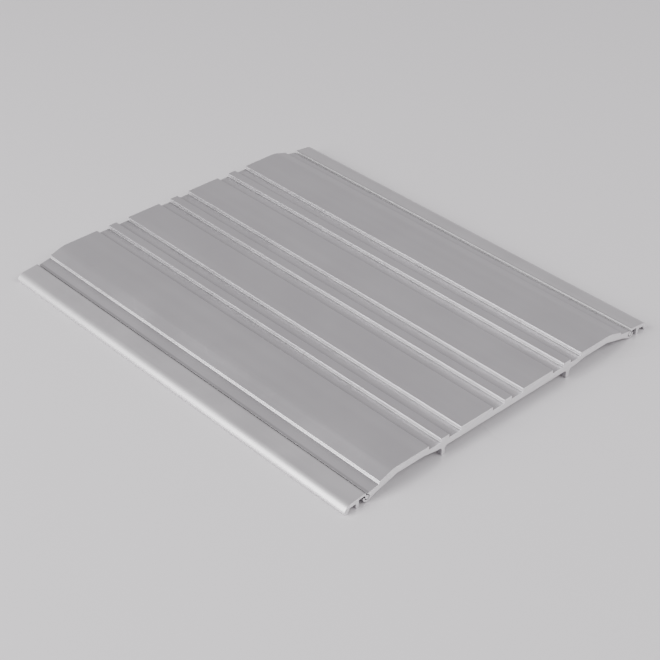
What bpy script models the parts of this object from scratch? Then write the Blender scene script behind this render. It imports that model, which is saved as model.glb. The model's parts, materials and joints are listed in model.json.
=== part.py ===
"""Ribbed aluminium threshold strip: a cover plate with a hinged nosing along each long edge.

All three pieces are extrusions of the same length. X runs across the strip, Y along it and Z up. The
origin is under the middle of the strip, on the surface that it stands on. Sizes are in metres.
"""

import math

import bmesh
import bpy
from mathutils import Vector

# Overall sizes
STRIP_WIDTH = 0.200
STRIP_LENGTH = 0.240
LAND_TOP = 0.0094

# Lands and grooves, from the middle outwards
NARROW_LAND = 0.0050
WIDE_LAND = 0.0205
GROOVE_WIDTH = 0.0074
GROOVE_DEPTH = 0.0018
RISER_LEAN = 0.0001
LAND_EDGE_RADIUS = 0.00035
GROOVE_CORNER_RADIUS = 0.0004

# Edge land, which bends down, then the step and the sloping shelf that ends at the hook's lip
BEND_X = 0.0715
BEND_RADIUS = 0.020
BEND_SLOPE = math.radians(17.4)
STEP_TOP_X = 0.0796
STEP_FOOT_X = 0.0800
STEP_DEPTH = 0.0013
LIP_X = 0.08650
LIP_Z = 0.00432
LIP_RADIUS = 0.0002

# Underside, with the thinner outer part and the two legs
UNDERSIDE_Z = 0.0044
OUTER_UNDERSIDE_Z = 0.00575
UNDERSIDE_STEP_IN_X = 0.0455
UNDERSIDE_STEP_OUT_X = 0.0530
UNDERSIDE_STEP_RADIUS = 0.004
UNDERSIDE_BEND_X = 0.0693
UNDERSIDE_BEND_RADIUS = 0.010
UNDERSIDE_SLOPE_X = 0.0770
UNDERSIDE_SLOPE_Z = 0.00365
UNDERSIDE_SLOPE_RADIUS = 0.006
UNDERSIDE_EDGE_X = 0.0818
UNDERSIDE_EDGE_Z = 0.00235
UNDERSIDE_EDGE_RADIUS = 0.0015
LEG_CENTRE_X = 0.0412
LEG_THICKNESS = 0.0020
LEG_ROOT_RADIUS = 0.0016
LEG_FOOT_RADIUS = 0.0003

# Hinge: a bead on the nosing inside a hook on the plate
HINGE_X = 0.0869
HINGE_Z = 0.0026
BEAD_RADIUS = 0.00105
HINGE_GAP = 0.00035
HOOK_WALL = 0.00095
HOOK_LIP_ANGLE = math.radians(104)
HOOK_HEEL_ANGLE = math.radians(247)
HOOK_TIP_RISE = 0.0003
HOOK_TIP_RADIUS = 0.00025

# Nosing, measured from the hinge axis in X and from the ground in Z
NECK_LEFT_ANGLE = math.radians(70)
NECK_RIGHT_ANGLE = math.radians(28)
NOSING_CORNER_X = 0.0010
NOSING_CORNER_Z = 0.0052
NOSING_CORNER_RADIUS = 0.0008
NECK_ROOT_X = 0.00125
NECK_ROOT_Z = 0.00388
NECK_ROOT_RADIUS = 0.0002
FOOT_INNER_X = 0.0047
FOOT_OUTER_X = 0.0064
FOOT_RADIUS = 0.00025
SLOT_ROOF_Z = 0.00385
SLOT_ROOF_RADIUS = 0.0005
CHANNEL_INNER_ROOF_Z = 0.0027
CHANNEL_OUTER_ROOF_Z = 0.0023
CHANNEL_ROOF_RADIUS = 0.0006
CHANNEL_OUTER_TOP_X = 0.0101
CHANNEL_OUTER_FOOT_X = 0.0110
NOSE_HALF_WIDTH = 0.0046
NOSE_CENTRE_Z = 0.0007
NOSE_RISE = 0.0036
NOSE_START_ANGLE = math.radians(81.5)
NOSE_TOE_RADIUS = 0.0006

# Smoothness of the rounds: how far a facet may lie inside its arc, and the most that it may turn
ARC_TOLERANCE = 0.00001
LARGEST_ARC_STEP = math.radians(22)

ALUMINIUM_COLOUR = (0.60, 0.60, 0.61, 1.0)
ALUMINIUM_ROUGHNESS = 0.36


def clear_scene():
    """Remove every object that the file opened with."""
    for old_object in list(bpy.data.objects):
        bpy.data.objects.remove(old_object, do_unlink=True)


def arc_angles(radius, start, end):
    """Return the angles of an arc's points from start to end, as close as its radius needs them."""
    step = min(LARGEST_ARC_STEP, 2 * math.acos(1 - ARC_TOLERANCE / radius))
    count = max(2, math.ceil(abs(end - start) / step))
    return [start + (end - start) * i / count for i in range(count + 1)]


def arc(centre_x, centre_z, radius_x, radius_z, start, end):
    """Return sharp outline corners along an elliptical arc from angle start to angle end."""
    angles = arc_angles(max(radius_x, radius_z), start, end)
    return [(centre_x + radius_x * math.cos(a), centre_z + radius_z * math.sin(a), 0.0) for a in angles]


def rounded_corner(before, corner, after, radius):
    """Return the points of an arc of the given radius that takes the place of a sharp corner."""
    to_before = (before - corner).normalized()
    to_after = (after - corner).normalized()
    half_angle = to_before.angle(to_after) / 2
    centre = corner + (to_before + to_after).normalized() * radius / math.sin(half_angle)
    start = corner + to_before * radius / math.tan(half_angle) - centre
    turn = math.pi - 2 * half_angle
    if to_before.x * to_after.y - to_before.y * to_after.x > 0:
        turn = -turn
    first_angle = math.atan2(start.y, start.x)
    angles = arc_angles(radius, first_angle, first_angle + turn)
    return [(centre.x + radius * math.cos(a), centre.y + radius * math.sin(a)) for a in angles]


def round_corners(corners, closed):
    """Return an outline's points, given its corners as (x, z, radius), with each radius worked in."""
    points = []
    last = len(corners) - 1
    for i, (x, z, radius) in enumerate(corners):
        if radius == 0.0 or (not closed and i in (0, last)):
            points.append((x, z))
            continue
        before = Vector(corners[i - 1][:2])
        after = Vector(corners[(i + 1) % len(corners)][:2])
        points.extend(rounded_corner(before, Vector((x, z)), after, radius))
    return points


def land_and_groove_corners():
    """Return the corners of the top from the middle land to the inner edge of the edge land."""
    groove_floor = LAND_TOP - GROOVE_DEPTH
    half_lean = RISER_LEAN / 2
    land_end = NARROW_LAND / 2
    corners = []
    for next_land in (WIDE_LAND, NARROW_LAND, 0.0):
        groove_end = land_end + GROOVE_WIDTH
        corners.append((land_end - half_lean, LAND_TOP, LAND_EDGE_RADIUS))
        corners.append((land_end + half_lean, groove_floor, GROOVE_CORNER_RADIUS))
        corners.append((groove_end - half_lean, groove_floor, GROOVE_CORNER_RADIUS))
        corners.append((groove_end + half_lean, LAND_TOP, LAND_EDGE_RADIUS))
        land_end = groove_end + next_land
    return corners


def bent_edge_corners():
    """Return the corners of the top from the bend, down the step and the shelf, to the hook's lip."""
    step_top_z = LAND_TOP - (STEP_TOP_X - BEND_X) * math.tan(BEND_SLOPE)
    return [
        (BEND_X, LAND_TOP, BEND_RADIUS),
        (STEP_TOP_X, step_top_z, LAND_EDGE_RADIUS),
        (STEP_FOOT_X, step_top_z - STEP_DEPTH, GROOVE_CORNER_RADIUS),
        (LIP_X, LIP_Z, LIP_RADIUS),
    ]


def hook_corners():
    """Return the corners of the hook: round its inside, over its tip and back round its outside."""
    inner_radius = BEAD_RADIUS + HINGE_GAP
    outer_radius = inner_radius + HOOK_WALL
    inner_tip = math.asin(HOOK_TIP_RISE / inner_radius)
    outer_tip = math.asin(HOOK_TIP_RISE / outer_radius)
    inside = arc(HINGE_X, HINGE_Z, inner_radius, inner_radius, HOOK_LIP_ANGLE, math.tau)
    tip_z = HINGE_Z + HOOK_TIP_RISE
    tip = [
        (HINGE_X + inner_radius * math.cos(inner_tip), tip_z, HOOK_TIP_RADIUS / 2),
        (HINGE_X + outer_radius * math.cos(outer_tip), tip_z, HOOK_TIP_RADIUS),
    ]
    outside = arc(HINGE_X, HINGE_Z, outer_radius, outer_radius, math.tau, HOOK_HEEL_ANGLE)
    return inside + tip + outside


def underside_corners():
    """Return the corners of the underside from beside the hook, over the leg, to the middle."""
    leg_outer = LEG_CENTRE_X + LEG_THICKNESS / 2
    leg_inner = LEG_CENTRE_X - LEG_THICKNESS / 2
    return [
        (UNDERSIDE_EDGE_X, UNDERSIDE_EDGE_Z, UNDERSIDE_EDGE_RADIUS),
        (UNDERSIDE_SLOPE_X, UNDERSIDE_SLOPE_Z, UNDERSIDE_SLOPE_RADIUS),
        (UNDERSIDE_BEND_X, OUTER_UNDERSIDE_Z, UNDERSIDE_BEND_RADIUS),
        (UNDERSIDE_STEP_OUT_X, OUTER_UNDERSIDE_Z, UNDERSIDE_STEP_RADIUS),
        (UNDERSIDE_STEP_IN_X, UNDERSIDE_Z, UNDERSIDE_STEP_RADIUS),
        (leg_outer, UNDERSIDE_Z, LEG_ROOT_RADIUS),
        (leg_outer, 0.0, LEG_FOOT_RADIUS),
        (leg_inner, 0.0, LEG_FOOT_RADIUS),
        (leg_inner, UNDERSIDE_Z, LEG_ROOT_RADIUS),
    ]


def plate_outline():
    """Return the closed cross-section of the cover plate: its right half and that half's mirror image."""
    top_middle = [(0.0, LAND_TOP, 0.0)]
    bottom_middle = [(0.0, UNDERSIDE_Z, 0.0)]
    corners = top_middle + land_and_groove_corners() + bent_edge_corners()
    corners += hook_corners() + underside_corners() + bottom_middle
    right = round_corners(corners, closed=False)
    left = [(-x, z) for x, z in reversed(right[1:-1])]
    return right + left


def nosing_outline():
    """Return the closed cross-section of the right nosing, with the hinge axis at its zero."""
    toe_x = STRIP_WIDTH / 2 - HINGE_X
    nose_centre_x = toe_x - NOSE_HALF_WIDTH
    ground = -HINGE_Z
    bead = arc(0, 0, BEAD_RADIUS, BEAD_RADIUS, NECK_LEFT_ANGLE, math.tau + NECK_RIGHT_ANGLE)
    slot_and_foot = [
        (NECK_ROOT_X, NECK_ROOT_Z - HINGE_Z, NECK_ROOT_RADIUS),
        (FOOT_INNER_X, SLOT_ROOF_Z - HINGE_Z, SLOT_ROOF_RADIUS),
        (FOOT_INNER_X, ground, FOOT_RADIUS),
        (FOOT_OUTER_X, ground, FOOT_RADIUS),
    ]
    channel = [
        (FOOT_OUTER_X, CHANNEL_INNER_ROOF_Z - HINGE_Z, CHANNEL_ROOF_RADIUS),
        (CHANNEL_OUTER_TOP_X, CHANNEL_OUTER_ROOF_Z - HINGE_Z, CHANNEL_ROOF_RADIUS),
        (CHANNEL_OUTER_FOOT_X, ground, FOOT_RADIUS),
        (toe_x, ground, NOSE_TOE_RADIUS),
    ]
    nose = arc(nose_centre_x, NOSE_CENTRE_Z - HINGE_Z, NOSE_HALF_WIDTH, NOSE_RISE, 0.0, NOSE_START_ANGLE)
    inner_corner = [(NOSING_CORNER_X, NOSING_CORNER_Z - HINGE_Z, NOSING_CORNER_RADIUS)]
    return round_corners(bead + slot_and_foot + channel + nose + inner_corner, closed=True)


def extrusion_mesh(name, outline):
    """Return a mesh of the outline drawn out along Y to the strip's length, centred on its zero."""
    mesh = bpy.data.meshes.new(name)
    builder = bmesh.new()
    section = [builder.verts.new((x, -STRIP_LENGTH / 2, z)) for x, z in outline]
    end_face = builder.faces.new(section)
    drawn = bmesh.ops.extrude_face_region(builder, geom=[end_face])
    far_end = [item for item in drawn["geom"] if isinstance(item, bmesh.types.BMVert)]
    bmesh.ops.translate(builder, verts=far_end, vec=(0.0, STRIP_LENGTH, 0.0))
    bmesh.ops.recalc_face_normals(builder, faces=builder.faces)
    builder.to_mesh(mesh)
    builder.free()
    mesh.shade_smooth()
    mesh.set_sharp_from_angle(angle=math.radians(30))
    return mesh


def aluminium(name):
    """Return a plain mill-finish aluminium material."""
    material = bpy.data.materials.new(name)
    material.use_nodes = True
    shader = material.node_tree.nodes["Principled BSDF"]
    shader.inputs["Base Color"].default_value = ALUMINIUM_COLOUR
    shader.inputs["Metallic"].default_value = 1.0
    shader.inputs["Roughness"].default_value = ALUMINIUM_ROUGHNESS
    return material


def place(name, mesh, location, turn):
    """Add an object to the scene, turned about Z, and return it."""
    piece = bpy.data.objects.new(name, mesh)
    piece.location = location
    piece.rotation_euler = (0.0, 0.0, turn)
    bpy.context.scene.collection.objects.link(piece)
    return piece


def build_strip():
    """Build the plate, and a nosing on the hinge axis at each long edge."""
    clear_scene()
    plate_mesh = extrusion_mesh("cover_plate", plate_outline())
    plate_mesh.materials.append(aluminium("plate_aluminium"))
    place("cover_plate", plate_mesh, (0.0, 0.0, 0.0), 0.0)

    nosing_mesh = extrusion_mesh("nosing", nosing_outline())
    nosing_mesh.materials.append(aluminium("nosing_aluminium"))
    place("right_nosing", nosing_mesh, (HINGE_X, 0.0, HINGE_Z), 0.0)
    place("left_nosing", nosing_mesh, (-HINGE_X, 0.0, HINGE_Z), math.pi)


build_strip()
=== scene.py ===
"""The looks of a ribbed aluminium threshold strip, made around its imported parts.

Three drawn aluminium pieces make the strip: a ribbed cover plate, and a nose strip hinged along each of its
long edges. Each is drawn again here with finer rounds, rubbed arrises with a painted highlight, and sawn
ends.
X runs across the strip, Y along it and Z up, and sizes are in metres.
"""

import json
import logging
import math
from collections.abc import Callable, Sequence
from dataclasses import dataclass
from enum import Enum

import bpy
from mathutils import Matrix, Vector


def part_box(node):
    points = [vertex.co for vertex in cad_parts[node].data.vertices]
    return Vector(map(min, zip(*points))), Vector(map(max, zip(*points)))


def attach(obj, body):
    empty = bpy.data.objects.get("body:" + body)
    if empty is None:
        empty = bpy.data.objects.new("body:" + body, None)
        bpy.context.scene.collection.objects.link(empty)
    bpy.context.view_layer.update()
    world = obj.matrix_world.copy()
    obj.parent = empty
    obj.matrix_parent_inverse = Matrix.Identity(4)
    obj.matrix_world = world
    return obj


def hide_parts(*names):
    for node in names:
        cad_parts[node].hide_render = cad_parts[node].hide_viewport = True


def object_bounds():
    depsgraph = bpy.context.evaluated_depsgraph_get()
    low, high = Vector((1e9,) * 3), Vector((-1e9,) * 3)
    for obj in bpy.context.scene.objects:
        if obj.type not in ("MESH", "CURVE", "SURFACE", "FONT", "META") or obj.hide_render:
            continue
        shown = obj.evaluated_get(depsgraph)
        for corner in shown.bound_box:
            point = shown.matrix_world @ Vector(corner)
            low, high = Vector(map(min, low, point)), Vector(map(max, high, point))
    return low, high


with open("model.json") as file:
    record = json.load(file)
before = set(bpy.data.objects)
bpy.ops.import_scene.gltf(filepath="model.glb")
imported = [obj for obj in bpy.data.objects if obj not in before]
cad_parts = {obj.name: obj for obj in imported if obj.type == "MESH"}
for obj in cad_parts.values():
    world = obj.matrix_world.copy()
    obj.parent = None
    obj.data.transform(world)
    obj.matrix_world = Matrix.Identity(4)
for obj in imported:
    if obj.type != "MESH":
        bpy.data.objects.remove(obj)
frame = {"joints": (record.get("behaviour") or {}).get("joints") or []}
cad_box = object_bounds()

log = logging.getLogger("threshold_strip")

Socket = bpy.types.NodeSocket
Feed = Socket | float | int | bool | str | tuple | bpy.types.Material
Colour = tuple[float, float, float]


def opaque(colour: Colour) -> tuple[float, float, float, float]:
    """Return the colour with full opacity, as a colour socket takes it."""
    return (*colour, 1.0)


def shade(colour: Colour, factor: float) -> Colour:
    """Return the colour made lighter or darker by a factor."""
    return (colour[0] * factor, colour[1] * factor, colour[2] * factor)


class NodeBoard:
    """Places nodes in one node tree and joins their sockets."""

    def __init__(self, tree: bpy.types.NodeTree) -> None:
        """Start work on a tree."""
        self.tree = tree

    def feed(self, socket: Socket, value: Feed) -> None:
        """Link another node's socket to this one, or set this one to a plain value.

        Args:
            socket: The input socket.
            value: An output socket, or the value to set.
        """
        if isinstance(value, bpy.types.NodeSocket):
            self.tree.links.new(value, socket)
        else:
            socket.default_value = value

    def add(self, kind: str, feeds: dict[str, Feed] | None = None, **settings: object) -> bpy.types.Node:
        """Place a node.

        Args:
            kind: The node's type.
            feeds: What each of its named inputs takes.
            **settings: The node's own properties.

        Returns:
            The node.
        """
        node = self.tree.nodes.new(kind)
        for name, value in settings.items():
            setattr(node, name, value)
        for name, value in (feeds or {}).items():
            self.feed(node.inputs[name], value)
        return node

    def _operate(self, kind: str, operation: str, values: Sequence[Feed]) -> bpy.types.Node:
        """Place a node that works on its inputs in order, and return it."""
        node = self.tree.nodes.new(kind)
        node.operation = operation
        for socket, value in zip(node.inputs, values):
            self.feed(socket, value)
        return node

    def math(self, operation: str, *values: Feed) -> Socket:
        """Return the result of a Math node."""
        return self._operate("ShaderNodeMath", operation, values).outputs["Value"]

    def vector_math(self, operation: str, *values: Feed) -> Socket:
        """Return the vector that a Vector Math node puts out."""
        return self._operate("ShaderNodeVectorMath", operation, values).outputs["Vector"]

    def vector_value(self, operation: str, *values: Feed) -> Socket:
        """Return the plain number that a Vector Math node puts out."""
        return self._operate("ShaderNodeVectorMath", operation, values).outputs["Value"]

    def scaled(self, vector: Feed, factor: Feed) -> Socket:
        """Return a vector times a number."""
        feeds = {"Vector": vector, "Scale": factor}
        return self.add("ShaderNodeVectorMath", feeds, operation="SCALE").outputs["Vector"]

    def combine(self, x: Feed = 0.0, y: Feed = 0.0, z: Feed = 0.0) -> Socket:
        """Return a vector made of three numbers."""
        return self.add("ShaderNodeCombineXYZ", {"X": x, "Y": y, "Z": z}).outputs["Vector"]

    def separate(self, vector: Feed) -> tuple[Socket, Socket, Socket]:
        """Return the three numbers of a vector."""
        outputs = self.add("ShaderNodeSeparateXYZ", {"Vector": vector}).outputs
        return outputs["X"], outputs["Y"], outputs["Z"]

    def ramp(self, value: Feed, start: Feed, end: Feed, low: Feed = 0.0, high: Feed = 1.0) -> Socket:
        """Return a smooth rise from low, where value is at start, to high, where it is at end."""
        feeds = {"Value": value, "From Min": start, "From Max": end, "To Min": low, "To Max": high}
        return self.add("ShaderNodeMapRange", feeds, interpolation_type="SMOOTHSTEP").outputs["Result"]

    def noise(self, vector: Feed, detail: float, roughness: float = 0.5) -> Socket:
        """Return noise with features about one unit of the vector across."""
        feeds = {"Vector": vector, "Scale": 1.0, "Detail": detail, "Roughness": roughness}
        return self.add("ShaderNodeTexNoise", feeds).outputs["Fac"]

    def mixed_colour(self, factor: Feed, first: Feed, second: Feed) -> Socket:
        """Return a mix of two colours."""
        node = self.tree.nodes.new("ShaderNodeMix")
        node.data_type = "RGBA"
        factor_socket = node.inputs[0]
        first_socket, second_socket = (socket for socket in node.inputs if socket.type == "RGBA")
        for socket, value in ((factor_socket, factor), (first_socket, first), (second_socket, second)):
            self.feed(socket, value)
        return next(socket for socket in node.outputs if socket.type == "RGBA")


# ------------------------------------------------------------
# The section of a drawn piece
# ------------------------------------------------------------


@dataclass(frozen=True)
class Corner:
    """One sharp corner of a section.

    Attributes:
        x: Place across the strip.
        z: Height.
        radius: What the corner is rounded to, or 0 where it stays sharp.
    """

    x: float
    z: float
    radius: float = 0.0

    def mirrored(self) -> "Corner":
        """Return the same corner on the other side of the middle."""
        return Corner(-self.x, self.z, self.radius)

    def moved(self, x: float, z: float) -> "Corner":
        """Return the corner moved across and up."""
        return Corner(self.x + x, self.z + z, self.radius)


@dataclass(frozen=True)
class Arc:
    """A stretch of an ellipse, or of a circle where its two radii are the same.

    Attributes:
        x: Centre across the strip.
        z: Centre's height.
        half_width: Radius across.
        half_height: Radius upwards.
        start: Angle that it starts at, in radians from +X towards +Z.
        end: Angle that it ends at.
    """

    x: float
    z: float
    half_width: float
    half_height: float
    start: float
    end: float

    STEP = math.radians(5)

    def corners(self) -> list[Corner]:
        """Return points along the arc, a few degrees apart."""
        count = math.ceil(abs(self.end - self.start) / self.STEP)
        angles = [self.start + (self.end - self.start) * i / count for i in range(count + 1)]
        return [
            Corner(self.x + self.half_width * math.cos(a), self.z + self.half_height * math.sin(a))
            for a in angles
        ]


def turns_left(corners: Sequence[Corner]) -> bool:
    """Return whether a closed section runs anticlockwise."""
    following = list(corners[1:]) + [corners[0]]
    return sum(a.x * b.z - b.x * a.z for a, b in zip(corners, following)) > 0


class Side(Enum):
    """The long edge of the plate that a nose strip is hinged to."""

    LEFT = "left"
    RIGHT = "right"

    @property
    def node(self) -> str:
        """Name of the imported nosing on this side."""
        return f"{self.value}_nosing"

    @property
    def body(self) -> str:
        """Name of the body that turns on this side's hinge."""
        return f"{self.value}_edge"

    @property
    def hinge(self) -> str:
        """Name of this side's hinge."""
        return f"{self.value}_nosing_hinge"


@dataclass(frozen=True)
class Hinge:
    """The bead-and-hook hinge along an edge, where the nose strip's bead turns inside the plate's hook.

    Attributes:
        x: The axis's distance from the middle of the strip.
        z: The axis's height.
        bead_radius: Radius of the nose strip's bead.
        gap: Free space between bead and hook.
        wall: The hook's wall.
    """

    x: float
    z: float
    bead_radius: float = 0.00105
    gap: float = 0.00035
    wall: float = 0.00095

    @classmethod
    def packed(cls) -> "Hinge":
        """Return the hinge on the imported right-hand joint's axis."""
        joint = next(j for j in frame["joints"] if j["name"] == Side.RIGHT.hinge)
        return cls(x=joint["pos_m"][0], z=joint["pos_m"][2])


# ------------------------------------------------------------
# Drawing a section out to its length
# ------------------------------------------------------------


class SectionTree:
    """The Geometry Nodes tree that rounds a section's corners and draws it out, with rounded arrises.

    The section comes in as a closed loop of edges in the XY plane, with the radius of each corner in the
    attribute RADIUS. It is drawn out along +Z, and is then turned so that it stands up and runs along Y.
    """

    RADIUS = "corner_radius"
    NAME = "drawn_section"
    SAWN_NORMAL = 0.9

    def __init__(self) -> None:
        """Build the tree."""
        self.tree = bpy.data.node_groups.new(self.NAME, "GeometryNodeTree")
        self._make_interface()
        self.board = NodeBoard(self.tree)
        self.given = self.board.add("NodeGroupInput").outputs
        section, outward = self._rounded_section()
        path, lean = self._cut_path()
        feeds = {"Curve": path, "Profile Curve": section, "Fill Caps": True}
        drawn = self.board.add("GeometryNodeCurveToMesh", feeds).outputs["Mesh"]
        body = self._arrises(drawn, outward, lean)
        dressed = self._finished(body)
        self.board.add("NodeGroupOutput", {"Piece": dressed})

    def _make_interface(self) -> None:
        """Give the tree its inputs and its output."""
        inputs = (
            ("Section", "NodeSocketGeometry"),
            ("Length", "NodeSocketFloat"),
            ("Arris Radius", "NodeSocketFloat"),
            ("Arris Steps", "NodeSocketInt"),
            ("Corner Steps", "NodeSocketInt"),
            ("Bays", "NodeSocketInt"),
            ("Drawn Finish", "NodeSocketMaterial"),
            ("Sawn Finish", "NodeSocketMaterial"),
        )
        for name, kind in inputs:
            self.tree.interface.new_socket(name=name, in_out="INPUT", socket_type=kind)
        self.tree.interface.new_socket(name="Piece", in_out="OUTPUT", socket_type="NodeSocketGeometry")

    def identifier(self, name: str) -> str:
        """Return the identifier of the input with that name."""
        sockets = self.tree.interface.items_tree
        return next(s.identifier for s in sockets if s.name == name and s.in_out == "INPUT")

    def _captured(self, geometry: Socket, value: Socket, domain: str) -> tuple[Socket, Socket]:
        """Hold a vector field's value on a geometry.

        Args:
            geometry: What the value is held on.
            value: The field.
            domain: The kind of element that it is read on.

        Returns:
            The geometry, and the value held on it.
        """
        node = self.board.add("GeometryNodeCaptureAttribute", domain=domain)
        node.capture_items.new("VECTOR", "Held")
        self.board.feed(node.inputs["Geometry"], geometry)
        self.board.feed(node.inputs["Held"], value)
        return node.outputs["Geometry"], node.outputs["Held"]

    def _neighbour(self, offset: int) -> Socket:
        """Return the place of the point that many steps further round the section."""
        shifted = self.board.add("GeometryNodeOffsetPointInCurve", {"Offset": offset})
        node = self.board.add("GeometryNodeFieldAtIndex", data_type="FLOAT_VECTOR", domain="POINT")
        self.board.feed(node.inputs["Index"], shifted.outputs["Point Index"])
        position = self.board.add("GeometryNodeInputPosition").outputs["Position"]
        self.board.feed(node.inputs["Value"], position)
        return node.outputs["Value"]

    def _rounded_section(self) -> tuple[Socket, Socket]:
        """Round the section's corners, and find which way is outwards at each of its points.

        The line between a point's neighbours leans to the longer of its two edges, so a flat stays flat up
        to the round at its end.

        Returns:
            The rounded curve, and the outward direction held on it.
        """
        board = self.board
        radius = board.add("GeometryNodeInputNamedAttribute", {"Name": self.RADIUS}, data_type="FLOAT")
        curve = board.add("GeometryNodeMeshToCurve", {"Mesh": self.given["Section"]}).outputs["Curve"]
        feeds = {"Curve": curve, "Count": self.given["Corner Steps"], "Radius": radius.outputs["Attribute"]}
        rounded = board.add("GeometryNodeFilletCurve", feeds, mode="POLY").outputs["Curve"]
        along = board.vector_math("SUBTRACT", self._neighbour(1), self._neighbour(-1))
        outward = board.vector_math("NORMALIZE", board.vector_math("CROSS_PRODUCT", along, (0.0, 0.0, 1.0)))
        return self._captured(rounded, outward, "POINT")

    def _cut_path(self) -> tuple[Socket, Socket]:
        """Make the path, with its points packed close at both ends so that the arrises can be rounded.

        Returns:
            The path along Z, and a vector held on it: how far a point's surface faces outwards, how far it
            faces along the path, and how far it is drawn in.
        """
        board = self.board
        given = self.given
        doubled_steps = board.math("MULTIPLY", given["Arris Steps"], 2.0)
        count = board.math("ADD", board.math("ADD", doubled_steps, given["Bays"]), 1.0)
        line = board.add("GeometryNodeCurvePrimitiveLine", {"End": (0.0, 0.0, 1.0)}).outputs["Curve"]
        path = board.add("GeometryNodeResampleCurve", {"Curve": line, "Count": count}).outputs["Curve"]

        index = board.add("GeometryNodeInputIndex").outputs["Index"]
        last = board.math("SUBTRACT", count, 1.0)
        from_end = board.math("MINIMUM", index, board.math("SUBTRACT", last, index))
        share = board.math("MINIMUM", board.math("DIVIDE", from_end, given["Arris Steps"]), 1.0)
        lean = board.math("MULTIPLY", board.math("SUBTRACT", 1.0, share), math.pi / 2)
        outwards = board.math("COSINE", lean)
        endwards = board.math("SINE", lean)

        radius = given["Arris Radius"]
        both_arrises = board.math("MULTIPLY", radius, 2.0)
        bay = board.math("DIVIDE", board.math("SUBTRACT", given["Length"], both_arrises), given["Bays"])
        bays_in = board.math("MAXIMUM", board.math("SUBTRACT", from_end, given["Arris Steps"]), 0.0)
        in_arris = board.math("MULTIPLY", radius, board.math("SUBTRACT", 1.0, endwards))
        depth = board.math("ADD", in_arris, board.math("MULTIPLY", bays_in, bay))
        half_length = board.math("MULTIPLY", given["Length"], 0.5)
        side = board.math("SIGN", board.math("SUBTRACT", index, board.math("MULTIPLY", last, 0.5)))
        height = board.math("MULTIPLY", side, board.math("SUBTRACT", half_length, depth))
        feeds = {"Geometry": path, "Position": board.combine(z=height)}
        placed = board.add("GeometryNodeSetPosition", feeds).outputs["Geometry"]

        drawn_in = board.math("MULTIPLY", radius, board.math("SUBTRACT", 1.0, outwards))
        held = board.combine(outwards, board.math("MULTIPLY", side, endwards), drawn_in)
        return self._captured(placed, held, "POINT")

    def _arrises(self, drawn: Socket, outward: Socket, lean: Socket) -> Socket:
        """Draw the ends in to their rounded arrises, stand the piece up and give it true normals.

        Args:
            drawn: The mesh as it comes from the sweep.
            outward: The outward direction held on the section.
            lean: The vector held on the path.

        Returns:
            The mesh.
        """
        board = self.board
        outwards, endwards, drawn_in = board.separate(lean)
        offset = board.scaled(outward, board.math("MULTIPLY", drawn_in, -1.0))
        placed = board.add("GeometryNodeSetPosition", {"Geometry": drawn, "Offset": offset})
        feeds = {"Geometry": placed.outputs["Geometry"], "Rotation": (math.pi / 2, 0.0, 0.0)}
        upright = board.add("GeometryNodeTransform", feeds).outputs["Geometry"]
        smooth = board.add("GeometryNodeSetShadeSmooth", {"Geometry": upright}).outputs["Geometry"]
        across, up, _ = board.separate(board.scaled(outward, outwards))
        normal = board.combine(across, board.math("MULTIPLY", endwards, -1.0), up)
        node = board.add("GeometryNodeSetMeshNormal", mode="TANGENT_SPACE", domain="POINT")
        board.feed(node.inputs["Mesh"], smooth)
        board.feed(node.inputs["Custom Normal"], normal)
        return node.outputs["Mesh"]

    def _finished(self, body: Socket) -> Socket:
        """Give the drawn faces and the sawn ends their finishes, and return the geometry."""
        board = self.board
        feeds = {"Geometry": body, "Material": self.given["Drawn Finish"]}
        drawn = board.add("GeometryNodeSetMaterial", feeds).outputs["Geometry"]
        normal = board.add("GeometryNodeInputNormal").outputs["True Normal"]
        _, along, _ = board.separate(normal)
        sawn = board.math("GREATER_THAN", board.math("ABSOLUTE", along), self.SAWN_NORMAL)
        feeds = {"Geometry": drawn, "Selection": sawn, "Material": self.given["Sawn Finish"]}
        dressed = board.add("GeometryNodeSetMaterial", feeds).outputs["Geometry"]
        return board.add("GeometryNodeRealizeInstances", {"Geometry": dressed}).outputs["Geometry"]


@dataclass(frozen=True)
class Cut:
    """How a drawn piece is cut to length.

    Attributes:
        length: Length of the piece.
        arris_radius: What the edges of its sawn ends are rounded to by deburring.
        arris_steps: Faces across that round.
        corner_steps: Faces round each corner of the section.
        bays: Faces along the piece.
    """

    length: float
    arris_radius: float = 0.0001
    arris_steps: int = 3
    corner_steps: int = 8
    bays: int = 12


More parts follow.
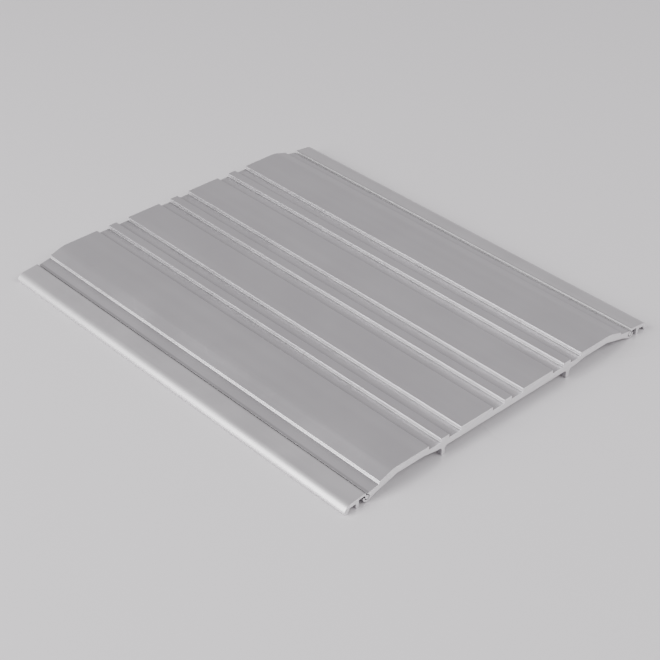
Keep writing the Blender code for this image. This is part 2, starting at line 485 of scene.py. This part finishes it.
class SectionDrawer:
    """Draws sections out into pieces, all with one Geometry Nodes tree."""

    def __init__(self, cut: Cut) -> None:
        """Build the tree.

        Args:
            cut: How the pieces are cut to length.
        """
        self.cut = cut
        self.nodes = SectionTree()

    def _loop(self, name: str, corners: Sequence[Corner]) -> bpy.types.Object:
        """Return an object with the section's corners as a closed loop of edges."""
        count = len(corners)
        mesh = bpy.data.meshes.new(name)
        edges = [(i, (i + 1) % count) for i in range(count)]
        mesh.from_pydata([(c.x, c.z, 0.0) for c in corners], edges, [])
        radii = mesh.attributes.new(SectionTree.RADIUS, "FLOAT", "POINT")
        radii.data.foreach_set("value", [c.radius for c in corners])
        loop = bpy.data.objects.new(name, mesh)
        bpy.context.scene.collection.objects.link(loop)
        return loop

    def draw(
        self, name: str, corners: Sequence[Corner], drawn: bpy.types.Material, sawn: bpy.types.Material
    ) -> bpy.types.Object:
        """Draw a section out to the piece's length.

        Args:
            name: The piece's name.
            corners: The section's corners, all the way round.
            drawn: Finish of the faces along the piece.
            sawn: Finish of its ends.

        Returns:
            The piece, as a plain mesh object at the origin.
        """
        ordered = list(corners) if turns_left(corners) else list(reversed(corners))
        piece = self._loop(name, ordered)
        modifier = piece.modifiers.new("draw", "NODES")
        modifier.node_group = self.nodes.tree
        settings = {
            "Length": self.cut.length,
            "Arris Radius": self.cut.arris_radius,
            "Arris Steps": self.cut.arris_steps,
            "Corner Steps": self.cut.corner_steps,
            "Bays": self.cut.bays,
            "Drawn Finish": drawn,
            "Sawn Finish": sawn,
        }
        for label, value in settings.items():
            modifier[self.nodes.identifier(label)] = value
        depsgraph = bpy.context.evaluated_depsgraph_get()
        mesh = bpy.data.meshes.new_from_object(piece.evaluated_get(depsgraph), depsgraph=depsgraph)
        mesh.name = name
        piece.modifiers.remove(modifier)
        piece.data = mesh
        return piece


# ------------------------------------------------------------
# Effects that the finishes share
# ------------------------------------------------------------


class Effect:
    """A shader node group, built the first time that a finish asks for it.

    Attributes:
        name: The group's name.
        inputs: Each input's name and the value that it has where nothing else is given.
        outputs: Names of the outputs, which are all plain numbers.
        wire: Fills the group, given its board and its inputs, and returns what each output takes.
    """

    def __init__(
        self,
        name: str,
        inputs: dict[str, float],
        outputs: Sequence[str],
        wire: Callable[[NodeBoard, Socket, dict[str, Socket]], Sequence[Socket]],
    ) -> None:
        """Note what the group is made of."""
        self.name = name
        self.inputs = inputs
        self.outputs = outputs
        self.wire = wire
        self._group: bpy.types.NodeTree | None = None

    def group(self) -> bpy.types.NodeTree:
        """Return the node group, built if it wasn't there yet."""
        if self._group is None:
            self._group = self._build()
        return self._group

    def _build(self) -> bpy.types.NodeTree:
        """Build the node group and return it."""
        tree = bpy.data.node_groups.new(self.name, "ShaderNodeTree")
        for label, value in self.inputs.items():
            socket = tree.interface.new_socket(name=label, in_out="INPUT", socket_type="NodeSocketFloat")
            socket.default_value = value
        for label in self.outputs:
            tree.interface.new_socket(name=label, in_out="OUTPUT", socket_type="NodeSocketFloat")
        board = NodeBoard(tree)
        given = board.add("NodeGroupInput").outputs
        place = board.add("ShaderNodeTexCoord").outputs["Object"]
        results = self.wire(board, place, {label: given[label] for label in self.inputs})
        board.add("NodeGroupOutput", dict(zip(self.outputs, results)))
        return tree

    def put(self, board: NodeBoard, **values: float) -> list[Socket]:
        """Place the effect in a material.

        Args:
            board: The material's board.
            **values: Values of the inputs, with _ for a space in their names.

        Returns:
            The outputs, in order.
        """
        node = board.add("ShaderNodeGroup", node_tree=self.group())
        for label, value in values.items():
            node.inputs[label.replace("_", " ")].default_value = value
        return [node.outputs[label] for label in self.outputs]


# Each set of tones or limits holds where a mask starts and ends and, where given, its low and high values.
MIDDLE_TONES = (0.3, 0.7)
BROAD_TO_FINE = 9.0
LONG_TO_RUN = 5.0
FINE_SHARE = 0.7
RUB_DEPTH_TO_WIDTH = 8.0
RUB_TURNS_AND_SHIFTS = ((0.5, 0.0), (-0.95, 3.1), (1.35, 7.7))
RUB_LINE_TONES = (0.70, 0.78)
RUB_PATCH_TONES = (0.4, 0.65)
ROUND_TURNS = (0.01, 0.12)
ROUND_PATCHES = (0.25, 0.6, 0.45, 1.0)
# Ambient occlusion, upward facing and patches that shape the painted shade in corners.
SHADE_OPENNESS = (0.97, 0.74)
SHADE_FACING = (0.5, 0.9)
SHADE_PATCHES = (0.25, 0.65, 0.8, 1.0)
# Painted shade along the hinge line between plate and nose strip, measured by the distance from that line.
HINGE_SHADE = (0.0019, 0.0010, 0.0, 0.45)
SAW_BEND = 12.0
ARC_SHARE = 0.6
ARC_TONES = (0.35, 0.65)


def wire_die_lines(board: NodeBoard, place: Socket, given: dict[str, Socket]) -> Sequence[Socket]:
    """Wire the fine lines that the die leaves along a drawn piece, and the broader bands between them."""
    fine_pitch, run = given["Pitch"], given["Run"]
    broad_pitch = board.math("MULTIPLY", fine_pitch, BROAD_TO_FINE)
    fine_cells = board.combine(fine_pitch, run, fine_pitch)
    fine = board.noise(board.vector_math("DIVIDE", place, fine_cells), 3.0, 0.6)
    long_run = board.math("MULTIPLY", run, LONG_TO_RUN)
    cells = board.combine(broad_pitch, long_run, broad_pitch)
    broad = board.noise(board.vector_math("DIVIDE", place, cells), 1.0)
    fine_part = board.math("MULTIPLY", fine, FINE_SHARE)
    height = board.math("ADD", fine_part, board.math("MULTIPLY", broad, 1.0 - FINE_SHARE))
    return height, board.ramp(broad, *MIDDLE_TONES), board.ramp(fine, *MIDDLE_TONES)


def wire_haze(board: NodeBoard, place: Socket, given: dict[str, Socket]) -> Sequence[Socket]:
    """Wire the soft clouds of a thin, uneven oxide film."""
    size = given["Size"]
    clouds = board.noise(board.vector_math("DIVIDE", place, board.combine(size, size, size)), 4.0, 0.55)
    return (board.ramp(clouds, *MIDDLE_TONES),)


def wire_rub_marks(board: NodeBoard, place: Socket, given: dict[str, Socket]) -> Sequence[Socket]:
    """Wire the faint scratches of handling, which run in three directions and come and go in patches."""
    width, run = given["Width"], given["Run"]
    cells = board.combine(width, run, board.math("MULTIPLY", width, RUB_DEPTH_TO_WIDTH))
    marks: Socket | None = None
    for turn, shift in RUB_TURNS_AND_SHIFTS:
        turned = board.add("ShaderNodeVectorRotate", {"Vector": place, "Angle": turn}, rotation_type="Z_AXIS")
        scaled = board.vector_math("DIVIDE", turned.outputs["Vector"], cells)
        lines = board.noise(board.vector_math("ADD", scaled, (shift, shift, shift)), 1.0)
        mask = board.ramp(lines, *RUB_LINE_TONES)
        marks = mask if marks is None else board.math("MAXIMUM", marks, mask)
    patches = board.noise(board.vector_math("DIVIDE", place, board.combine(run, run, run)), 1.0)
    return (board.math("MULTIPLY", marks, board.ramp(patches, *RUB_PATCH_TONES)),)


def wire_arris_rub_and_highlight(board: NodeBoard, place: Socket, given: dict[str, Socket]) -> Sequence[Socket]:
    """Wire the mask along rounded edges that are rubbed smoother and painted lighter as a highlight, in
    patches.
    """
    eased = board.add("ShaderNodeBevel", {"Radius": given["Radius"]}, samples=6).outputs["Normal"]
    true = board.add("ShaderNodeNewGeometry").outputs["Normal"]
    turned = board.math("SUBTRACT", 1.0, board.vector_value("DOT_PRODUCT", eased, true))
    edge = board.ramp(turned, *ROUND_TURNS)
    size = given["Break Size"]
    breaks = board.noise(board.vector_math("DIVIDE", place, board.combine(size, size, size)), 2.0)
    return (board.math("MULTIPLY", edge, board.ramp(breaks, *ROUND_PATCHES)),)


def wire_painted_corner_shade(board: NodeBoard, place: Socket, given: dict[str, Socket]) -> Sequence[Socket]:
    """Wire the painted shade at the foot of a step, where it faces up, and along the hinge line, from ambient
    occlusion.
    """
    node = board.add("ShaderNodeAmbientOcclusion", {"Distance": given["Reach"]}, samples=8, only_local=True)
    closeness = board.ramp(node.outputs["AO"], *SHADE_OPENNESS)
    _, _, upwards = board.separate(board.add("ShaderNodeNewGeometry").outputs["True Normal"])
    facing_up = board.ramp(upwards, *SHADE_FACING)
    size = given["Patch Size"]
    patches = board.noise(board.vector_math("DIVIDE", place, board.combine(size, size, size)), 2.0)
    occluded_upwards = board.math("MULTIPLY", closeness, facing_up)
    patchy = board.math("MULTIPLY", occluded_upwards, board.ramp(patches, *SHADE_PATCHES))
    # Painted shade also lies in a band along the hinge line, in the gap between the plate and the nose strip.
    across, _, _ = board.separate(place)
    off_hinge = board.math("SUBTRACT", board.math("ABSOLUTE", across), given["Hinge Line"])
    beside_hinge = board.ramp(board.math("ABSOLUTE", off_hinge), *HINGE_SHADE)
    return (board.math("MAXIMUM", patchy, beside_hinge),)


def wire_saw_arcs(board: NodeBoard, place: Socket, given: dict[str, Socket]) -> Sequence[Socket]:
    """Wire the arcs of a large saw blade whose arbor is below the strip and to one side."""
    x, _, z = board.separate(place)
    across = board.math("SUBTRACT", x, given["Arbor X"])
    from_arbor = board.combine(across, board.math("SUBTRACT", z, given["Arbor Z"]))
    radius = board.vector_value("LENGTH", from_arbor)
    bend = board.math("MULTIPLY", x, SAW_BEND)
    arcs = board.noise(board.combine(board.math("DIVIDE", radius, given["Pitch"]), bend), 2.0, 0.6)
    chatter = board.noise(board.combine(board.math("DIVIDE", radius, given["Coarse Pitch"]), bend), 1.0)
    arc_part = board.math("MULTIPLY", arcs, ARC_SHARE)
    height = board.math("ADD", arc_part, board.math("MULTIPLY", chatter, 1.0 - ARC_SHARE))
    return height, board.ramp(height, *ARC_TONES)


DIE_LINES = Effect("die_lines", {"Pitch": 0.0006, "Run": 0.06}, ("Height", "Band", "Line"), wire_die_lines)
HAZE = Effect("oxide_haze", {"Size": 0.03}, ("Cloud",), wire_haze)
RUB_MARKS = Effect("rub_marks", {"Width": 0.0007, "Run": 0.02}, ("Mark",), wire_rub_marks)
# Rounded edges: rubbed smoother, and painted lighter as a highlight.
ARRIS_RUB_AND_HIGHLIGHT = Effect("arris_rub", {"Radius": 0.0004, "Break Size": 0.004}, ("Edge",), wire_arris_rub_and_highlight)
# Painted shade in corners and along the hinge, found by ambient occlusion.
PAINTED_CORNER_SHADE = Effect(
    "corner_grime",
    {"Reach": 0.0040, "Hinge Line": 0.0869, "Patch Size": 0.02},
    ("Grime",),
    wire_painted_corner_shade,
)
SAW_ARCS = Effect(
    "saw_arcs",
    {"Pitch": 0.00035, "Coarse Pitch": 0.0017, "Arbor X": 0.05, "Arbor Z": -0.16},
    ("Height", "Tone"),
    wire_saw_arcs,
)


# ------------------------------------------------------------
# Finishes
# ------------------------------------------------------------


def new_material(name: str) -> tuple[bpy.types.Material, NodeBoard, bpy.types.Node]:
    """Return a new material, its board and its Principled shader."""
    material = bpy.data.materials.new(name)
    material.use_nodes = True
    board = NodeBoard(material.node_tree)
    return material, board, material.node_tree.nodes["Principled BSDF"]


@dataclass(frozen=True)
class DrawnAluminium:
    """Mill-finish aluminium as it leaves the die, with a little handling.

    Attributes:
        name: The material's name.
        colour: Colour of the metal.
        roughness: Roughness where the surface is plain.
        edge_tint: How much lighter the colour is painted along rounded edges, as a highlight where they are
            also rubbed.
        line_depth: Depth of the die lines.
        pitch: Spacing of the die lines.
    """

    name: str
    colour: Colour
    roughness: float
    edge_tint: float
    line_depth: float = 0.000004
    pitch: float = 0.0006

    BAND_TINT = 0.03
    LINE_ROUGHENING = 0.05
    CLOUD_ROUGHENING = 0.06
    MARK_ROUGHENING = 0.10
    EDGE_SMOOTHING = 0.08
    # How dark the painted shade in corners and along the hinge makes the colour, and how much rougher it
    # makes the surface.
    PAINTED_SHADE_TINT = 0.35
    SHADE_MASK_ROUGHENING = 0.12
    MARK_DEPTH = 0.5

    def material(self) -> bpy.types.Material:
        """Build the material and return it."""
        material, board, shader = new_material(self.name)
        height, band, line = DIE_LINES.put(board, Pitch=self.pitch)
        (cloud,) = HAZE.put(board)
        (mark,) = RUB_MARKS.put(board)
        (edge,) = ARRIS_RUB_AND_HIGHLIGHT.put(board)
        (painted_shade,) = PAINTED_CORNER_SHADE.put(board)

        tint = board.math("ADD", board.math("MULTIPLY", band, 0.6), board.math("MULTIPLY", cloud, 0.4))
        dark, light = (opaque(shade(self.colour, 1 + s * self.BAND_TINT)) for s in (-1, 1))
        body = board.mixed_colour(tint, dark, light)
        # Painted shade: the colour darkens in corners and along the hinge, where the occlusion mask is
        # strong.
        shaded_body = board.mixed_colour(painted_shade, body, opaque(shade(self.colour, self.PAINTED_SHADE_TINT)))
        # Painted highlight: rounded edges get a lighter colour, where they are also rubbed smoother.
        rubbed_and_highlit = opaque(shade(self.colour, self.edge_tint))
        board.feed(shader.inputs["Base Color"], board.mixed_colour(edge, shaded_body, rubbed_and_highlit))

        roughness: Feed = self.roughness
        for mask, change in (
            (line, self.LINE_ROUGHENING),
            (cloud, self.CLOUD_ROUGHENING),
            (mark, self.MARK_ROUGHENING),
            (painted_shade, self.SHADE_MASK_ROUGHENING),
            (edge, -self.EDGE_SMOOTHING),
        ):
            roughness = board.math("MULTIPLY_ADD", mask, change, roughness)
        board.feed(shader.inputs["Roughness"], roughness)

        relief = board.math("SUBTRACT", height, board.math("MULTIPLY", mark, self.MARK_DEPTH))
        bump = board.add("ShaderNodeBump", {"Strength": 1.0, "Distance": self.line_depth, "Height": relief})
        board.feed(shader.inputs["Normal"], bump.outputs["Normal"])
        shader.inputs["Metallic"].default_value = 1.0
        return material


@dataclass(frozen=True)
class SawnAluminium:
    """A fresh saw cut, brighter and duller than the drawn surface, with the blade's arcs across it.

    Attributes:
        name: The material's name.
        colour: Colour of the metal.
        roughness: Roughness between the arcs.
        arc_depth: Depth of the blade's arcs.
    """

    name: str
    colour: Colour
    roughness: float
    arc_depth: float = 0.000012

    TONE_TINT = 0.05
    TONE_ROUGHENING = 0.10

    def material(self) -> bpy.types.Material:
        """Build the material and return it."""
        material, board, shader = new_material(self.name)
        height, tone = SAW_ARCS.put(board)
        dark, light = (opaque(shade(self.colour, 1 + s * self.TONE_TINT)) for s in (-1, 1))
        board.feed(shader.inputs["Base Color"], board.mixed_colour(tone, dark, light))
        roughness = board.math("MULTIPLY_ADD", tone, self.TONE_ROUGHENING, self.roughness)
        board.feed(shader.inputs["Roughness"], roughness)
        bump = board.add("ShaderNodeBump", {"Strength": 1.0, "Distance": self.arc_depth, "Height": height})
        board.feed(shader.inputs["Normal"], bump.outputs["Normal"])
        shader.inputs["Metallic"].default_value = 1.0
        return material


@dataclass(frozen=True)
class StudioPaint:
    """The satin white of the studio floor.

    Attributes:
        name: The material's name.
        colour: Colour of the paint.
        roughness: Its roughness.
    """

    name: str
    colour: Colour
    roughness: float

    CLOUD_ROUGHENING = 0.04

    def material(self) -> bpy.types.Material:
        """Build the material and return it."""
        material, board, shader = new_material(self.name)
        (cloud,) = HAZE.put(board, Size=0.3)
        roughness = board.math("MULTIPLY_ADD", cloud, self.CLOUD_ROUGHENING, self.roughness)
        board.feed(shader.inputs["Roughness"], roughness)
        shader.inputs["Base Color"].default_value = opaque(self.colour)
        return material


# ------------------------------------------------------------
# The pieces
# ------------------------------------------------------------


@dataclass
class CoverPlate:
    """The ribbed plate that is walked on, with its two legs and a hook along each edge.

    Attributes:
        hinge: The hinge along its right edge.
        land_top: Height of the lands.
        narrow_land: Width of a narrow land.
        wide_land: Width of a wide land.
        groove_width: Width of a groove.
        groove_depth: Depth of a groove.
        riser_lean: How far a groove's wall leans outwards over its height.
        land_edge_radius: Rounding of a land's edges.
        groove_corner_radius: Rounding of a groove's bottom corners.
        bend_x: Where the edge land bends down.
        bend_radius: How sharply it bends.
        bend_slope: The angle that it bends down by.
        step_top_x: Where the step at its end starts.
        step_foot_x: Where that step ends.
        step_depth: Height of that step.
        lip: The hook's lip, where the sloping shelf beside the hinge ends.
        underside: Height of the plate's flat underside.
        outer_underside: Corners of the thinner outer part's underside, from beside the hook inwards.
        underside_step: Where the thinner part meets the thicker middle.
        leg_x: Distance of a leg from the middle.
        leg_thickness: Thickness of a leg.
        leg_root_radius: Rounding where a leg leaves the plate.
        leg_foot_radius: Rounding of a leg's foot.
        throat_angle: Where the lip ends above the bead, from +X towards +Z.
        throat_radius: Rounding of the lip's lower edge.
        heel_angle: Where the outside of the hook runs into the underside.
        tip_rise: How far the hook's tip reaches above the axis.
        tip_radius: Rounding of the hook's tip.
    """

    hinge: Hinge
    land_top: float
    narrow_land: float = 0.0050
    wide_land: float = 0.0205
    groove_width: float = 0.0074
    groove_depth: float = 0.0018
    riser_lean: float = 0.0001
    land_edge_radius: float = 0.0002
    groove_corner_radius: float = 0.00025
    bend_x: float = 0.0715
    bend_radius: float = 0.020
    bend_slope: float = math.radians(17.4)
    step_top_x: float = 0.0796
    step_foot_x: float = 0.0800
    step_depth: float = 0.0013
    lip: Corner = Corner(0.0868, 0.00432, 0.00012)
    underside: float = 0.0044
    outer_underside: tuple[Corner, ...] = (
        Corner(0.0818, 0.00235, 0.0015),
        Corner(0.0770, 0.00365, 0.006),
        Corner(0.0693, 0.00575, 0.010),
        Corner(0.0530, 0.00575, 0.004),
    )
    underside_step: Corner = Corner(0.0455, 0.0044, 0.004)
    leg_x: float = 0.0412
    leg_thickness: float = 0.0020
    leg_root_radius: float = 0.0016
    leg_foot_radius: float = 0.0003
    throat_angle: float = math.radians(104)
    throat_radius: float = 0.00016
    heel_angle: float = math.radians(247)
    tip_rise: float = 0.0003
    tip_radius: float = 0.00025

    NODE = "cover_plate"
    BODY = "plate"
    SLOT = "plate_aluminium"
    NAME = "ribbed_plate"

    def _lands_and_grooves(self) -> list[Corner]:
        """Return the corners of the top, from the middle land to the start of the edge land."""
        floor = self.land_top - self.groove_depth
        lean = self.riser_lean / 2
        land_end = self.narrow_land / 2
        corners = []
        for next_land in (self.wide_land, self.narrow_land, 0.0):
            groove_end = land_end + self.groove_width
            corners.append(Corner(land_end - lean, self.land_top, self.land_edge_radius))
            corners.append(Corner(land_end + lean, floor, self.groove_corner_radius))
            corners.append(Corner(groove_end - lean, floor, self.groove_corner_radius))
            corners.append(Corner(groove_end + lean, self.land_top, self.land_edge_radius))
            land_end = groove_end + next_land
        return corners

    def _bent_edge(self) -> list[Corner]:
        """Return the corners from the bend, down the step and the shelf, to the hook's lip."""
        step_top = self.land_top - (self.step_top_x - self.bend_x) * math.tan(self.bend_slope)
        return [
            Corner(self.bend_x, self.land_top, self.bend_radius),
            Corner(self.step_top_x, step_top, self.land_edge_radius),
            Corner(self.step_foot_x, step_top - self.step_depth, self.groove_corner_radius),
            self.lip,
        ]

    def _hook(self) -> list[Corner]:
        """Return the hook's corners: round its inside, over its tip and back round its outside."""
        hinge = self.hinge
        inner = hinge.bead_radius + hinge.gap
        outer = inner + hinge.wall
        throat_x = hinge.x + inner * math.cos(self.throat_angle)
        throat = [Corner(throat_x, hinge.z + inner * math.sin(self.throat_angle), self.throat_radius)]
        tip_z = hinge.z + self.tip_rise
        tip = [
            Corner(hinge.x + math.sqrt(radius**2 - self.tip_rise**2), tip_z, self.tip_radius)
            for radius in (inner, outer)
        ]
        clear_of_throat = self.throat_angle + 2 * self.throat_radius / inner
        inside = Arc(hinge.x, hinge.z, inner, inner, clear_of_throat, math.tau).corners()
        outside = Arc(hinge.x, hinge.z, outer, outer, math.tau, self.heel_angle).corners()
        return throat + inside + tip + outside

    def _underside(self) -> list[Corner]:
        """Return the corners of the underside, from beside the hook, over the leg, to the middle."""
        outer = self.leg_x + self.leg_thickness / 2
        inner = self.leg_x - self.leg_thickness / 2
        return [
            *self.outer_underside,
            self.underside_step,
            Corner(outer, self.underside, self.leg_root_radius),
            Corner(outer, 0.0, self.leg_foot_radius),
            Corner(inner, 0.0, self.leg_foot_radius),
            Corner(inner, self.underside, self.leg_root_radius),
        ]

    def corners(self) -> list[Corner]:
        """Return the section's corners: its right half, and the left half as its mirror image."""
        right = self._lands_and_grooves() + self._bent_edge() + self._hook() + self._underside()
        return right + [corner.mirrored() for corner in reversed(right)]

    def build(self, drawer: SectionDrawer) -> bpy.types.Object:
        """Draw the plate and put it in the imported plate's place.

        Args:
            drawer: What draws the section out.

        Returns:
            The plate.
        """
        # The last number paints the plate's rounded edges lighter, as a highlight.
        drawn = DrawnAluminium("plate_mill_finish", (0.71, 0.695, 0.715), 0.32, 1.25).material()
        sawn = SawnAluminium("plate_saw_cut", (0.90, 0.89, 0.90), 0.42).material()
        piece = drawer.draw(self.NAME, self.corners(), drawn, sawn)
        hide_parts(self.NODE)
        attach(piece, self.BODY)
        return piece


@dataclass
class NoseStrip:
    """The round-nosed strip hinged along one edge of the plate.

    Its sizes are those of the right-hand strip. Heights are from the ground.

    Attributes:
        side: The edge that it is hinged to.
        hinge: The hinge on the right edge.
        toe_x: Distance of its outermost point from the middle of the whole strip.
        top_corner: Inner corner of its flat top, measured from the hinge's axis across.
        underside: Corners of the slot, the foot and the channel under it, measured in the same way.
        toe_radius: Rounding of the toe where it meets the ground.
        neck_start: Where the bead's round ends under the top's inner corner, from +X towards +Z.
        neck_end: Where the bead's round ends beside the slot.
        nose_half_width: Radius across of the nose's round.
        nose_z: Height of the middle of that round.
        nose_rise: Radius upwards of that round.
        nose_start: Where that round starts at the top.
    """

    side: Side
    hinge: Hinge
    toe_x: float
    top_corner: Corner = Corner(0.0008, 0.0052, 0.0004)
    underside: tuple[Corner, ...] = (
        Corner(0.00125, 0.00388, 0.0002),
        Corner(0.0047, 0.00385, 0.0005),
        Corner(0.0047, 0.0, 0.00025),
        Corner(0.0064, 0.0, 0.00025),
        Corner(0.0064, 0.0027, 0.0006),
        Corner(0.0101, 0.0023, 0.0006),
        Corner(0.0110, 0.0, 0.00025),
    )
    toe_radius: float = 0.0006
    neck_start: float = math.radians(70)
    neck_end: float = math.radians(28)
    nose_half_width: float = 0.0046
    nose_z: float = 0.0007
    nose_rise: float = 0.0036
    nose_start: float = math.radians(81.5)

    SLOT = "nosing_aluminium"

    def corners(self) -> list[Corner]:
        """Return the section's corners on this strip's own side."""
        hinge = self.hinge
        radius = hinge.bead_radius
        bead = Arc(hinge.x, hinge.z, radius, radius, self.neck_start, math.tau + self.neck_end)
        below = [corner.moved(hinge.x, 0.0) for corner in self.underside]
        toe = [Corner(self.toe_x, 0.0, self.toe_radius)]
        nose_x = self.toe_x - self.nose_half_width
        nose = Arc(nose_x, self.nose_z, self.nose_half_width, self.nose_rise, 0.0, self.nose_start)
        top = [self.top_corner.moved(hinge.x, 0.0)]
        right = bead.corners() + below + toe + nose.corners() + top
        if self.side is Side.RIGHT:
            return right
        return [corner.mirrored() for corner in right]

    def build(
        self, drawer: SectionDrawer, drawn: bpy.types.Material, sawn: bpy.types.Material
    ) -> bpy.types.Object:
        """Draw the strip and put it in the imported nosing's place.

        Args:
            drawer: What draws the section out.
            drawn: Finish of the faces along it.
            sawn: Finish of its ends.

        Returns:
            The strip.
        """
        piece = drawer.draw(f"{self.side.value}_nose_strip", self.corners(), drawn, sawn)
        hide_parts(self.side.node)
        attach(piece, self.side.body)
        return piece


# ------------------------------------------------------------
# The studio
# ------------------------------------------------------------


@dataclass(frozen=True)
class SoftBox:
    """A large soft light.

    Attributes:
        name: The light's name.
        place: Where it stands.
        aim: The point that it faces.
        width: Its width.
        height: Its height.
        power: Its power in watts.
    """

    name: str
    place: tuple[float, float, float]
    aim: tuple[float, float, float]
    width: float
    height: float
    power: float

    def build(self) -> None:
        """Add the light to the scene."""
        light = bpy.data.lights.new(self.name, "AREA")
        light.shape = "RECTANGLE"
        light.size = self.width
        light.size_y = self.height
        light.energy = self.power
        lamp = bpy.data.objects.new(self.name, light)
        facing = Vector(self.aim) - Vector(self.place)
        turn = facing.to_track_quat("-Z", "Y").to_matrix().to_4x4()
        lamp.matrix_world = Matrix.Translation(self.place) @ turn
        bpy.context.scene.collection.objects.link(lamp)


@dataclass(frozen=True)
class Studio:
    """The plain room that the strip is shown in.

    Attributes:
        floor_size: Length of the floor's sides.
        floor_gap: How far the floor lies below the strip's feet.
        ambient: Colour of the light from all around.
        ambient_strength: Strength of that light.
        camera_place: Where the camera stands.
        camera_aim: The point at the middle of its view.
        lens: Focal length in millimetres, on a sensor SENSOR wide.
    """

    floor_size: float = 8.0
    floor_gap: float = 0.0001
    ambient: Colour = (0.955, 0.925, 0.955)
    ambient_strength: float = 0.58
    camera_place: tuple[float, float, float] = (-0.4390, -0.4782, 0.4398)
    camera_aim: tuple[float, float, float] = (-0.0183, -0.0230, 0.0050)
    lens: float = 86.73

    SENSOR = 36.0

    def _lights(self) -> tuple[SoftBox, ...]:
        """Return the soft lights."""
        strip = (0.0, 0.0, 0.0)
        return (
            SoftBox("left_softbox", (-1.15, 0.40, 0.62), strip, 0.9, 1.3, 25.0),
            SoftBox("front_softbox", (0.5, -0.9, 0.9), strip, 0.9, 0.7, 8.0),
        )

    def _floor(self) -> None:
        """Add the floor."""
        half = self.floor_size / 2
        mesh = bpy.data.meshes.new("studio_floor")
        corners = [(-half, -half), (half, -half), (half, half), (-half, half)]
        mesh.from_pydata([(x, y, -self.floor_gap) for x, y in corners], [], [(0, 1, 2, 3)])
        mesh.materials.append(StudioPaint("studio_white", (0.81, 0.79, 0.81), 0.24).material())
        floor = bpy.data.objects.new("studio_floor", mesh)
        bpy.context.scene.collection.objects.link(floor)

    def _ambient_light(self) -> None:
        """Light the scene evenly from all around."""
        world = bpy.data.worlds.new("studio_ambient")
        world.use_nodes = True
        background = world.node_tree.nodes["Background"]
        background.inputs["Color"].default_value = opaque(self.ambient)
        background.inputs["Strength"].default_value = self.ambient_strength
        bpy.context.scene.world = world

    def _camera(self) -> None:
        """Add the camera and make it the scene's own."""
        data = bpy.data.cameras.new("studio_camera")
        data.sensor_width = self.SENSOR
        data.lens = self.lens
        camera = bpy.data.objects.new("studio_camera", data)
        facing = Vector(self.camera_aim) - Vector(self.camera_place)
        turn = facing.to_track_quat("-Z", "Y").to_matrix().to_4x4()
        camera.matrix_world = Matrix.Translation(self.camera_place) @ turn
        bpy.context.scene.collection.objects.link(camera)
        bpy.context.scene.camera = camera

    def build(self) -> None:
        """Set up the floor, the lights and the camera."""
        self._floor()
        self._ambient_light()
        for softbox in self._lights():
            softbox.build()
        self._camera()


def report(piece: bpy.types.Object) -> None:
    """Log a finished piece's name and the size of its mesh."""
    triangles = sum(len(face.vertices) - 2 for face in piece.data.polygons)
    log.info("%s: %d points, %d triangles", piece.name, len(piece.data.vertices), triangles)


def main() -> None:
    """Build the strip's pieces and the studio around them."""
    logging.basicConfig(level=logging.INFO, format="%(name)s: %(message)s")
    highest = cad_box[1]
    plate_low, plate_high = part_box(CoverPlate.NODE)
    hinge = Hinge.packed()
    drawer = SectionDrawer(Cut(length=plate_high.y - plate_low.y))
    report(CoverPlate(hinge=hinge, land_top=highest.z).build(drawer))

    drawn = DrawnAluminium("nosing_mill_finish", (0.765, 0.75, 0.765), 0.43, 1.0).material()
    sawn = SawnAluminium("nosing_saw_cut", (0.90, 0.89, 0.90), 0.42).material()
    for side in Side:
        report(NoseStrip(side=side, hinge=hinge, toe_x=highest.x).build(drawer, drawn, sawn))

    Studio().build()


if __name__ == "__main__":
    main()
